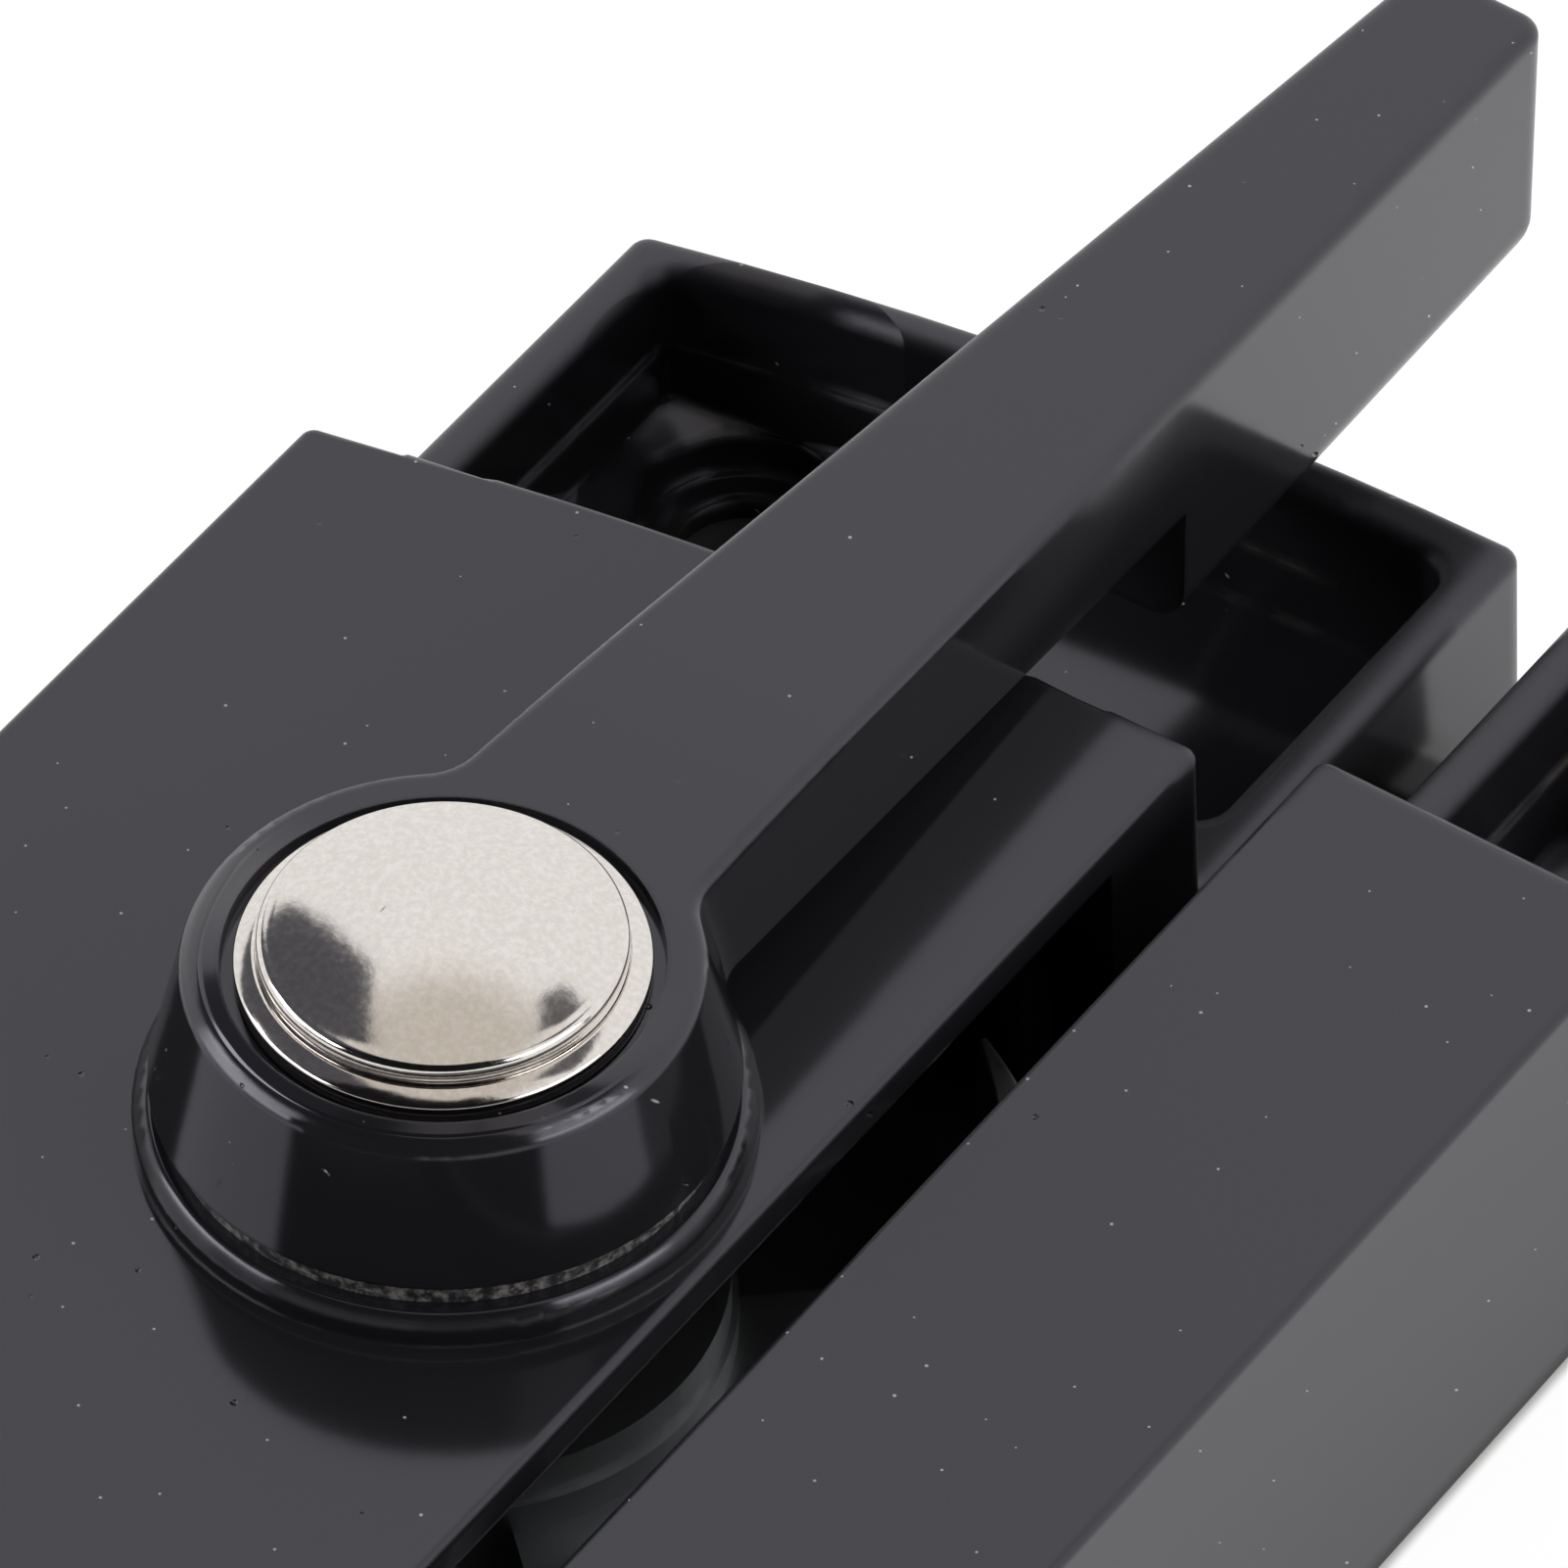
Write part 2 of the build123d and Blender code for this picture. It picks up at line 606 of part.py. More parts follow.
# Keeper: one die casting, whose own pins are set over the hook's flange
with BuildPart() as keeper_body:
    left = keeper_left - keeper_lean
    right = keeper_right + keeper_lean
    ear_tip = keeper_end + keeper_ear_lean
    deck_tip = keeper_deck_end + keeper_lean
    add(drafted_block(plan(left, right, -ear_tip, ear_tip, None, None, outline_corner_radius),
                      keeper_ear_height, rim_edge_radius))
    add(ear_pockets(keeper_left + rim_width, keeper_right - rim_width, keeper_deck_end + rim_inner_width,
                    keeper_end - rim_width, None, None, keeper_ear_height, (keeper_middle, keeper_screw_y)),
        mode=Mode.SUBTRACT)
    fillet(pocket_rims(keeper_body, keeper_ear_height), rim_edge_radius)
    add(drafted_block(plan(left, right, -deck_tip, deck_tip, None, None, outline_corner_radius),
                      keeper_height, deck_edge_radius))
    with Locations((keeper_left + keeper_wall, 0, 0)):
        Box(keeper_width - 2 * keeper_wall, 2 * (keeper_deck_end - keeper_wall), keeper_ceiling,
            align=(Align.MIN, Align.CENTER, Align.MIN), mode=Mode.SUBTRACT)
    with Locations((left, 0, 0)):
        Box(keeper_lean + 2 * keeper_wall, 2 * keeper_mouth_half_length, keeper_ceiling,
            align=(Align.MIN, Align.CENTER, Align.MIN), mode=Mode.SUBTRACT)
    screw_holes(keeper_middle, keeper_screw_y)
    with Locations(*[(x, y, keeper_ceiling) for x, y in pin_places]):
        Cylinder(hook_pin_radius, hook_thickness, align=(Align.CENTER, Align.CENTER, Align.MAX))
    with Locations(*[(x, y, keeper_ceiling - hook_thickness) for x, y in pin_places]):
        Cylinder(hook_pin_head_radius, hook_pin_head_height, align=(Align.CENTER, Align.CENTER, Align.MAX))
finish(keeper_body.part, "keeper_body")

os.makedirs("parts", exist_ok=True)
for part in parts:
    export_step(part, f"parts/{part.label}.step")
    print(part.label, len(part.solids()), "solid", round(part.volume, 1), "mm3")
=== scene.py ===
# %% [markdown]
# # A sliding window lock
#
# The real object is a pair of small zinc die castings in gloss black paint. One carries a lever on a bright
# domed rivet, and the other is the keeper that the lock's crescent draws in. The solids come from the CAD
# model and stay as they are. This script gives them their finishes, adds what is too fine for the solids,
# and lights and frames them as a studio photograph does.

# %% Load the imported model
import math

import bmesh
import bpy
from mathutils import Matrix, Vector


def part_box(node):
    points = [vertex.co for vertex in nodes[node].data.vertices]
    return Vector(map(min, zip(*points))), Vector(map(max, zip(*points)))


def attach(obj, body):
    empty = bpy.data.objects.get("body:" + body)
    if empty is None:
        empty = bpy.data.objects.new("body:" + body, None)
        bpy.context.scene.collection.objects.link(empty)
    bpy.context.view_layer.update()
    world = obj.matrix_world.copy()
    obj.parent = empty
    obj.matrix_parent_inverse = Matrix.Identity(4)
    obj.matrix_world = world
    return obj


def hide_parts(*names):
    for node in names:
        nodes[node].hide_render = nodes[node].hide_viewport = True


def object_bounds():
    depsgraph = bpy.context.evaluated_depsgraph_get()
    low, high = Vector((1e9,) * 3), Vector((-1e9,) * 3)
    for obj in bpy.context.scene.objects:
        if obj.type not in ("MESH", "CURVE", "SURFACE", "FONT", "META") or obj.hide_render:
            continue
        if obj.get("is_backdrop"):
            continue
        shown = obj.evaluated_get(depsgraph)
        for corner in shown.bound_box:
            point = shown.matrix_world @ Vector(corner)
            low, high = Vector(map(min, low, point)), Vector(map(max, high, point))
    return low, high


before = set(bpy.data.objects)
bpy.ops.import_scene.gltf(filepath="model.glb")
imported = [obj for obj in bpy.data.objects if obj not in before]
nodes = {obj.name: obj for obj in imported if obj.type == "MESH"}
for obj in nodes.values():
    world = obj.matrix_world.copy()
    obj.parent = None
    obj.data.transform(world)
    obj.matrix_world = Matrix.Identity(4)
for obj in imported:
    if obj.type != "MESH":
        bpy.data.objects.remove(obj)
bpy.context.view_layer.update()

MM = 0.001

# %% [markdown]
# ## Small helpers
#
# Colours are written as the hex values that a colour picker shows, and one function turns them to the linear
# values that a shader works in. Another adds a node with its settings and its links in one line, so that
# a material reads from top to bottom like a recipe.

# %% Colour and node helpers


def linear(code, alpha=1.0):
    """An sRGB hex colour such as "#4d4d50" as linear RGBA."""
    values = [int(code[i:i + 2], 16) / 255 for i in (1, 3, 5)]
    return [v / 12.92 if v <= 0.04045 else ((v + 0.055) / 1.055) ** 2.4 for v in values] + [alpha]


def add_node(tree, kind, settings=None, **inputs):
    """Adds a node. Settings are its own properties; inputs are values, or sockets to link from.

    An input is given by its name, with _ for a space, or by its number, as i0 or i1.
    """
    node = tree.nodes.new(kind)
    for key, value in (settings or {}).items():
        setattr(node, key, value)
    for key, value in inputs.items():
        number = key[1:] if key[0] == "i" else ""
        socket = node.inputs[int(number)] if number.isdigit() else node.inputs[key.replace("_", " ")]
        if isinstance(value, bpy.types.NodeSocket):
            tree.links.new(value, socket)
        else:
            socket.default_value = value
    return node


def smooth_step(tree, value, start, end):
    """0 below start and 1 above end, with a soft change between. Start may be the higher of the two."""
    return add_node(tree, "ShaderNodeMapRange", {"interpolation_type": "SMOOTHSTEP"}, i0=value, i1=start,
                    i2=end).outputs[0]


def multiplied(tree, *values):
    """The product of several masks."""
    result = values[0]
    for value in values[1:]:
        result = add_node(tree, "ShaderNodeMath", {"operation": "MULTIPLY"}, i0=result, i1=value).outputs[0]
    return result


def mixed(tree, share, first, second):
    """A blend of two colours, by a mask."""
    return add_node(tree, "ShaderNodeMix", {"data_type": "RGBA"}, i0=share, i6=first, i7=second).outputs[2]


def new_material(name):
    """An empty material, and the mesh's own coordinates in metres."""
    material = bpy.data.materials.new(name)
    material.use_nodes = True
    tree = material.node_tree
    tree.nodes.clear()
    place = add_node(tree, "ShaderNodeTexCoord").outputs["Object"]
    return material, tree, place


def finish_material(tree, shader):
    add_node(tree, "ShaderNodeOutputMaterial", Surface=shader.outputs[0])


def dress(material, *names):
    """Gives CAD nodes their finish."""
    for name in names:
        if not nodes[name].material_slots:
            nodes[name].data.materials.append(None)
        for slot in nodes[name].material_slots:
            slot.material = material
    print(material.name, "on", ", ".join(names))


# %% [markdown]
# ## The camera
#
# The photograph is a close view from the room side and above, taken from far away: its parallel edges
# hardly converge. The place and the lens come from matching the lock's edges to the picture.

# %% Camera
camera_place = Vector((203.893, -275.814, 380.132)) * MM
camera_target = Vector((0.3968, 16.4106, 14.0)) * MM
camera_data = bpy.data.cameras.new("Camera")
camera_data.sensor_width = 36.0
camera_data.lens = 400.63
camera_data.clip_start, camera_data.clip_end = 0.01, 20.0
camera = bpy.data.objects.new("Camera", camera_data)
bpy.context.scene.collection.objects.link(camera)
camera.location = camera_place
camera.rotation_mode = "QUATERNION"
camera.rotation_quaternion = (camera_target - camera_place).to_track_quat("-Z", "Y")
bpy.context.scene.camera = camera
bpy.context.scene.view_settings.view_transform = "Standard"
print("Camera", round((camera_target - camera_place).length / MM), "mm away")

# %% [markdown]
# ## The light tent
#
# Small shiny things are photographed in a white tent, which is the same brightness all round apart from its
# front opening, where the camera looks in. Gloss paint and chrome are only as good as what they mirror, so
# the world is that tent: white cloth, and darker openings whose place is given as a bearing from the camera's
# side (to the right is positive) and a height above the horizon, both in degrees. Two low softboxes stand at
# its sides. Only edges and steep walls mirror them, which is what draws those as bright lines on black paint.
# Further back a darker panel hangs on either side under a level bar, and the rivet's dome mirrors both.

# %% World
world = bpy.data.worlds.new("Light tent")
bpy.context.scene.world = world
world.use_nodes = True
tree = world.node_tree
tree.nodes.clear()
towards_camera = camera_place - camera_target
camera_bearing = math.atan2(towards_camera.y, towards_camera.x)
direction = add_node(tree, "ShaderNodeTexCoord").outputs["Generated"]
turned = add_node(tree, "ShaderNodeVectorRotate", {"rotation_type": "Z_AXIS"}, Vector=direction,
                  Angle=-camera_bearing).outputs[0]
ray = add_node(tree, "ShaderNodeSeparateXYZ", Vector=turned).outputs
bearing = add_node(tree, "ShaderNodeMath", {"operation": "ARCTAN2"}, i0=ray[1], i1=ray[0]).outputs[0]
bearing = add_node(tree, "ShaderNodeMath", {"operation": "DEGREES"}, i0=bearing).outputs[0]
height = add_node(tree, "ShaderNodeMath", {"operation": "ARCSINE"}, i0=ray[2]).outputs[0]
height = add_node(tree, "ShaderNodeMath", {"operation": "DEGREES"}, i0=height).outputs[0]


def opening(left, right, low, high, soft):
    """A mask that is 1 in one opening of the tent."""
    return multiplied(tree, smooth_step(tree, bearing, left - soft, left + soft),
                      smooth_step(tree, bearing, right + soft, right - soft),
                      smooth_step(tree, height, low - soft, low + soft),
                      smooth_step(tree, height, high + soft, high - soft))


def below_bar(slope):
    """A mask that is 1 below a level bar, which runs along one side of the tent."""
    over = add_node(tree, "ShaderNodeMath", {"operation": "MULTIPLY"}, i0=ray[1], i1=slope).outputs[0]
    over = add_node(tree, "ShaderNodeMath", {"operation": "SUBTRACT"}, i0=over, i1=ray[2]).outputs[0]
    return smooth_step(tree, over, -0.06, 0.06)


cloth = mixed(tree, smooth_step(tree, height, 58.0, 74.0), linear("#ffffff"), linear("#d8d2ca"))
front = opening(-80, 43, 4, 78, 2.5)
left_panel = multiplied(tree, opening(-151.5, -72, 27, 88, 1.2), below_bar(-3.45))
right_panel = multiplied(tree, opening(88, 136, 55, 88, 1.2), below_bar(2.7))
for mask, tone in ((left_panel, "#55555b"), (right_panel, "#626164"), (front, "#161618")):
    cloth = mixed(tree, mask, cloth, linear(tone))
softboxes = [opening(left, right, 19, 38, 1.0) for left, right in ((-113, -60), (37, 80))]
softbox = add_node(tree, "ShaderNodeMath", {"operation": "ADD"}, i0=softboxes[0], i1=softboxes[1]).outputs[0]
cloth = mixed(tree, softbox, cloth, linear("#ffffff"))
strength = add_node(tree, "ShaderNodeMapRange", i0=softbox, i3=1.0, i4=5.2).outputs[0]
background = add_node(tree, "ShaderNodeBackground", Color=cloth, Strength=strength)
add_node(tree, "ShaderNodeOutputWorld", Surface=background.outputs[0])
print("Light tent with", len(softboxes), "softboxes and", len(tree.nodes), "nodes")

# %% [markdown]
# ## The floor
#
# The tent's floor is white paper. The camera sees it as plain white, and the gloss sees it so a little way
# off. Close to the castings it is the paper's own shading, so the lock keeps its shadow there. Under them the
# paper is painted dark, as a painted shade, because the screw holes and the gap look down into deep shade.

# %% Floor
floor_mesh = bmesh.new()
bmesh.ops.create_grid(floor_mesh, x_segments=1, y_segments=1, size=1.5)
bmesh.ops.translate(floor_mesh, verts=floor_mesh.verts, vec=(0, 0, -0.02 * MM))
floor_data = bpy.data.meshes.new("floor")
floor_mesh.to_mesh(floor_data)
floor_mesh.free()
floor = bpy.data.objects.new("floor", floor_data)
bpy.context.scene.collection.objects.link(floor)
floor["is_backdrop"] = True

material, tree, place = new_material("white paper")
spot = add_node(tree, "ShaderNodeSeparateXYZ", Vector=place).outputs
# The last half sizes bound the patch of painted shade under the castings
castings_middle, castings_half, painted_shade_half = (2.35, 0.0), (22.6, 39.6), (19.1, 37.8)


def beside(half_sizes):
    """How far a place on the floor is outside a rectangle about the middle of the two castings."""
    offsets = []
    for axis, middle, half in zip((0, 1), castings_middle, half_sizes):
        offset = add_node(tree, "ShaderNodeMath", {"operation": "SUBTRACT"}, i0=spot[axis],
                          i1=middle * MM).outputs[0]
        offset = add_node(tree, "ShaderNodeMath", {"operation": "ABSOLUTE"}, i0=offset).outputs[0]
        offset = add_node(tree, "ShaderNodeMath", {"operation": "SUBTRACT"}, i0=offset, i1=half * MM).outputs[0]
        offsets.append(add_node(tree, "ShaderNodeMath", {"operation": "MAXIMUM"}, i0=offset, i1=0.0).outputs[0])
    both = add_node(tree, "ShaderNodeCombineXYZ", X=offsets[0], Y=offsets[1]).outputs[0]
    return add_node(tree, "ShaderNodeVectorMath", {"operation": "LENGTH"}, Vector=both).outputs["Value"]


paths = add_node(tree, "ShaderNodeLightPath").outputs
distance = beside(castings_half)
outside = smooth_step(tree, distance, 0.05 * MM, 0.5 * MM)
far_off = smooth_step(tree, distance, -25.0 * MM, 25.0 * MM)
plain = add_node(tree, "ShaderNodeMapRange", i0=far_off, i3=0.85, i4=1.0).outputs[0]
for_camera = multiplied(tree, paths["Is Camera Ray"], outside, plain)
for_gloss = multiplied(tree, paths["Is Glossy Ray"], outside, far_off, 0.9)
share = add_node(tree, "ShaderNodeMath", {"operation": "MAXIMUM"}, i0=for_camera, i1=for_gloss).outputs[0]
# Under the castings the paper's colour is darkened: painted shade for the screw holes and the gap
painted_shade_pad = smooth_step(tree, beside(painted_shade_half), 0.6 * MM, 0.1 * MM)
paper = add_node(tree, "ShaderNodeBsdfDiffuse", Color=mixed(tree, painted_shade_pad, linear("#f4f4f2"), linear("#3c3c3c")))
white = add_node(tree, "ShaderNodeEmission", Color=linear("#ffffff"), Strength=1.03)
finish_material(tree, add_node(tree, "ShaderNodeMixShader", i0=share, i1=paper.outputs[0],
                               i2=white.outputs[0]))
floor.data.materials.append(material)
print("Floor of", material.name)

# %% [markdown]
# ## Gloss black paint
#
# The castings are sprayed with a hard gloss black, which mirrors the tent faintly. The paint's finer shapes
# are too small and soft for the solids, and they all depend on where a place lies: how far it is from the
# pivot and from the screws, and how far along the lock. So these three measures come first. Both ends of
# the castings are alike, and the place along them is taken without its sign.

# %% Paint: measures of place
material, tree, place = new_material("sprayed gloss black paint")
axes = add_node(tree, "ShaderNodeSeparateXYZ", Vector=place).outputs
along = add_node(tree, "ShaderNodeMath", {"operation": "ABSOLUTE"}, i0=axes[1]).outputs[0]
flat_place = add_node(tree, "ShaderNodeVectorMath", {"operation": "MULTIPLY"}, i0=place,
                      i1=(1.0, 1.0, 0.0)).outputs[0]
from_pivot = add_node(tree, "ShaderNodeVectorMath", {"operation": "LENGTH"}, Vector=flat_place).outputs["Value"]
screw_x, screw_y = -13.65 * MM, 34.5 * MM
x_offset = add_node(tree, "ShaderNodeMath", {"operation": "SUBTRACT"}, i0=axes[0], i1=screw_x).outputs[0]
y_offset = add_node(tree, "ShaderNodeMath", {"operation": "SUBTRACT"}, i0=along, i1=screw_y).outputs[0]
from_screw = add_node(tree, "ShaderNodeCombineXYZ", X=x_offset, Y=y_offset).outputs[0]
from_screw = add_node(tree, "ShaderNodeVectorMath", {"operation": "LENGTH"}, Vector=from_screw).outputs["Value"]
print("Screws stand", round(2 * screw_y / MM, 1), "mm apart")

# %% [markdown]
# ## Rounded rims
#
# Paint builds up soft and round along the narrow rims of the two ears, and hardly at all along the other
# edges. A Bevel node bends the surface's normal as a rounding of that radius would, which costs no geometry.

# %% Paint: rounded rims
edge_rounding, rim_rounding = 0.14 * MM, 0.55 * MM
on_ear = smooth_step(tree, along, 22.5 * MM, 24.0 * MM)
round_edge = add_node(tree, "ShaderNodeMapRange", i0=on_ear, i3=edge_rounding, i4=rim_rounding).outputs[0]
bevelled = add_node(tree, "ShaderNodeBevel", {"samples": 1}, Radius=round_edge).outputs[0]
print("Edges look rounded by", round(edge_rounding / MM, 2), "mm, the ears' rims by", round(rim_rounding / MM, 2))

# %% [markdown]
# ## Soft relief
#
# Three places lean more than the solids do, because the paint has run and levelled on them: the ring round
# each screw's seat, the ring round the hub's recess, which falls away gently and then faster near its edge
# and runs out into the flat arm, and the edge of the deck's collar. Each is a rise in millimetres that is level
# outside its own place, so that it draws no line there, and one Bump node takes their sum as its height.

# %% Paint: soft relief
seat_rise = add_node(tree, "ShaderNodeMapRange", i0=from_screw, i1=3.5 * MM, i2=5.2 * MM, i3=0.0,
                     i4=0.55).outputs[0]
crown = add_node(tree, "ShaderNodeMapRange", i0=from_pivot, i1=6.4 * MM, i2=7.0 * MM, i3=0.3, i4=0.0).outputs[0]
brow = multiplied(tree, smooth_step(tree, from_pivot, 7.45 * MM, 6.85 * MM), 0.24)
ring_rise = add_node(tree, "ShaderNodeMath", {"operation": "ADD"}, i0=crown, i1=brow).outputs[0]
ring_rise = multiplied(tree, ring_rise, smooth_step(tree, axes[1], 3.0 * MM, -3.0 * MM))
collar_rise = multiplied(tree, smooth_step(tree, from_pivot, 9.05 * MM, 8.5 * MM),
                         smooth_step(tree, axes[2], 15.6 * MM, 15.4 * MM), 0.24)
relief = add_node(tree, "ShaderNodeMath", {"operation": "ADD"}, i0=ring_rise, i1=collar_rise).outputs[0]
relief = add_node(tree, "ShaderNodeMath", {"operation": "ADD"}, i0=relief, i1=seat_rise).outputs[0]
relief_bump = add_node(tree, "ShaderNodeBump", Strength=1.0, Distance=MM, Height=relief,
                       Normal=bevelled).outputs[0]
print("Relief round the screws, the recess and the collar")

# %% [markdown]
# ## Orange peel
#
# A spray coat is never quite flat. Its orange peel is a slow waviness, a few thousandths of a millimetre
# high, which a soft noise gives. It only shows where the paint mirrors the edge of something bright.

# %% Paint: orange peel
peel_width, peel_height = 1.6 * MM, 0.006 * MM
peel = add_node(tree, "ShaderNodeTexNoise", Vector=place, Scale=1 / peel_width, Detail=1.0,
                Roughness=0.5).outputs[0]
peel_bump = add_node(tree, "ShaderNodeBump", Strength=0.4, Distance=peel_height, Height=peel,
                     Normal=relief_bump).outputs[0]
print("Orange peel", round(peel_height / MM, 3), "mm high")

# %% [markdown]
# ## Lint and pits
#
# Here and there a pale fibre lies on the paint, about 0.12 mm across, and some 4 mm from the next. Shallow
# pits 0.25 mm across crowd round the pivot, where the paint was touched up. Both share one pattern, with one
# speck or none in each cell of 1.3 mm, so that it is only worked out once. It is drawn on a slanting plane,
# because a flat one would leave streaks down the walls.

# %% Paint: lint and pits
speck_cell = 1.3
spread = add_node(tree, "ShaderNodeCombineXYZ", X=axes[2], Y=axes[2]).outputs[0]
speck_place = add_node(tree, "ShaderNodeVectorMath", {"operation": "MULTIPLY_ADD"}, i0=spread,
                       i1=(0.6, 0.8, 0.0), i2=place).outputs[0]
specks = add_node(tree, "ShaderNodeTexVoronoi", {"voronoi_dimensions": "2D"}, Vector=speck_place,
                  Scale=1 / (speck_cell * MM))
chance = add_node(tree, "ShaderNodeSeparateColor", Color=specks.outputs["Color"]).outputs
speck_size = add_node(tree, "ShaderNodeMapRange", i0=chance[2], i3=0.45, i4=1.0).outputs[0]
from_speck = add_node(tree, "ShaderNodeMath", {"operation": "DIVIDE"}, i0=specks.outputs["Distance"],
                      i1=speck_size).outputs[0]
lint_mask = multiplied(tree, smooth_step(tree, from_speck, 0.075 / speck_cell, 0.03 / speck_cell),
                       smooth_step(tree, chance[0], 0.9, 0.905))
crowding = smooth_step(tree, from_pivot, 16.0 * MM, 9.0 * MM)
pit_limit = add_node(tree, "ShaderNodeMapRange", i0=crowding, i3=0.993, i4=0.9).outputs[0]
pit_on = add_node(tree, "ShaderNodeMath", {"operation": "GREATER_THAN"}, i0=chance[1], i1=pit_limit).outputs[0]
pit_mask = multiplied(tree, smooth_step(tree, from_speck, 0.14 / speck_cell, 0.04 / speck_cell), pit_on)
pit_bump = add_node(tree, "ShaderNodeBump", Strength=1.0, Distance=0.05 * MM,
                    Height=multiplied(tree, pit_mask, -1.0), Normal=peel_bump).outputs[0]
print("Lint and pits in cells of", speck_cell, "mm")

# %% [markdown]
# ## Thin paint on edges
#
# Along the sharpest edges the paint is thin, and the metal's grey-brown comes through in patches. Such an edge
# is where the rounding turns the surface's own normal furthest, and a noise breaks the wear up.

# %% Paint: thin edges
flat_normal = add_node(tree, "ShaderNodeNewGeometry").outputs["Normal"]
turn = add_node(tree, "ShaderNodeVectorMath", {"operation": "DOT_PRODUCT"}, i0=bevelled,
                i1=flat_normal).outputs["Value"]
rub = add_node(tree, "ShaderNodeTexNoise", Vector=place, Scale=1 / (3.0 * MM), Detail=2.0).outputs[0]
wear = 0.6
worn = multiplied(tree, smooth_step(tree, turn, 0.84, 0.74), smooth_step(tree, rub, 0.45, 0.6), wear)
print("Worn edges show up to", wear, "of the metal's colour")

# %% [markdown]
# ## The coat itself
#
# The colour is a neutral near-black under a clear gloss, whose sheen is a little cool. Handling leaves it
# slightly duller in clouds, so a slow noise drives the roughness.

# %% Paint: the coat
coat = mixed(tree, worn, linear("#1f1f22"), linear("#635b54"))
coat = mixed(tree, lint_mask, coat, linear("#b0aeac"))
smudge = add_node(tree, "ShaderNodeTexNoise", Vector=place, Scale=1 / (11.0 * MM), Detail=2.0,
                  Roughness=0.6).outputs[0]
gloss = add_node(tree, "ShaderNodeMapRange", i0=smudge, i3=0.09, i4=0.15).outputs[0]
paint = add_node(tree, "ShaderNodeBsdfPrincipled", Base_Color=coat, Roughness=gloss, IOR=1.63,
                 Specular_Tint=linear("#f3f1ff"), Normal=pit_bump)
finish_material(tree, paint)
dress(material, "housing", "lever", "keeper_body")

# %% [markdown]
# ## Chrome on the rivet
#
# The rivet's head and the washer under it are plated in bulk, in a turning barrel. The plating is bright but
# the pieces knock against each other in it, which leaves a fine grain and a few short nicks.

# %% Chrome
material, tree, place = new_material("barrel-plated chrome")
grain = add_node(tree, "ShaderNodeTexNoise", Vector=place, Scale=1 / (0.22 * MM), Detail=5.0,
                 Roughness=0.65).outputs[0]
grain_bump = add_node(tree, "ShaderNodeBump", Strength=0.28, Distance=0.006 * MM, Height=grain).outputs[0]
dents = add_node(tree, "ShaderNodeTexNoise", Vector=place, Scale=1 / (1.4 * MM), Detail=2.0).outputs[0]
dent_bump = add_node(tree, "ShaderNodeBump", Strength=0.5, Distance=0.02 * MM, Height=dents,
                     Normal=grain_bump).outputs[0]
nick_place = add_node(tree, "ShaderNodeMapping", Vector=place, Rotation=(0, 0, 0.6),
                      Scale=(1.0, 0.22, 1.0)).outputs[0]
nicks = add_node(tree, "ShaderNodeTexVoronoi", Vector=nick_place, Scale=1 / (0.9 * MM))
nick_there = add_node(tree, "ShaderNodeSeparateColor", Color=nicks.outputs["Color"]).outputs
nick_mask = multiplied(tree, smooth_step(tree, nicks.outputs["Distance"], 0.06, 0.03),
                       smooth_step(tree, nick_there[0], 0.8, 0.82))
plating = mixed(tree, smooth_step(tree, grain, 0.35, 0.7), linear("#d9d3cd"), linear("#e6e1dc"))
plating = mixed(tree, nick_mask, plating, linear("#8d8780"))
chrome_rough = add_node(tree, "ShaderNodeMapRange", i0=grain, i3=0.06, i4=0.16).outputs[0]
chrome = add_node(tree, "ShaderNodeBsdfPrincipled", Base_Color=plating, Metallic=1.0, Roughness=chrome_rough,
                  Normal=dent_bump)
finish_material(tree, chrome)
dress(material, "pivot_rivet", "head_washer")
chrome_material = material

# %% [markdown]
# ## Turned pieces
#
# The rivet and its washer are turned or formed round, so each is the outline of one side, spun about the axis.
# One helper joins an outline's points into a chain of edges. The other spins the chains, shades the result
# smooth apart from its sharp corners, and hands it over as a chromed piece that rides on the lever.

# %% Helpers for turned pieces


def chain_of(mesh, points):
    """Joins (radius, height) points into a chain of edges, and returns its vertices."""
    verts = [mesh.verts.new((radius, 0, height)) for radius, height in points]
    for pair in zip(verts, verts[1:]):
        mesh.edges.new(pair)
    return verts


def turned_piece(mesh, name, replaced):
    """Spins the mesh's chains a full turn about the Z axis, in place of a CAD node on the lever."""
    bmesh.ops.spin(mesh, geom=mesh.verts[:] + mesh.edges[:], cent=(0, 0, 0), axis=(0, 0, 1), angle=2 * math.pi,
                   steps=128, use_merge=True)
    bmesh.ops.remove_doubles(mesh, verts=mesh.verts, dist=0.001 * MM)
    bmesh.ops.recalc_face_normals(mesh, faces=mesh.faces)
    data = bpy.data.meshes.new(name)
    mesh.to_mesh(data)
    mesh.free()
    data.shade_smooth()
    data.set_sharp_from_angle(angle=math.radians(40))
    data.materials.append(chrome_material)
    piece = bpy.data.objects.new(name, data)
    bpy.context.scene.collection.objects.link(piece)
    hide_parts(replaced)
    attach(piece, "lever")
    print(name, "has", len(data.polygons), "faces")
    return piece


# %% [markdown]
# ## The rivet
#
# On the real rivet the head is a low dome over a rounded rim, and its side carries a few fine turned rings.
# The CAD's plain head has one groove. Here the whole rivet is made again at the same diameters. Its head is
# a chain of edges: the rim's corner is rounded by a vertex bevel, and the dome's arc is the chain's last
# vertex, spun up to the axis. The full turn then makes the solid, with the round shank and the tail.

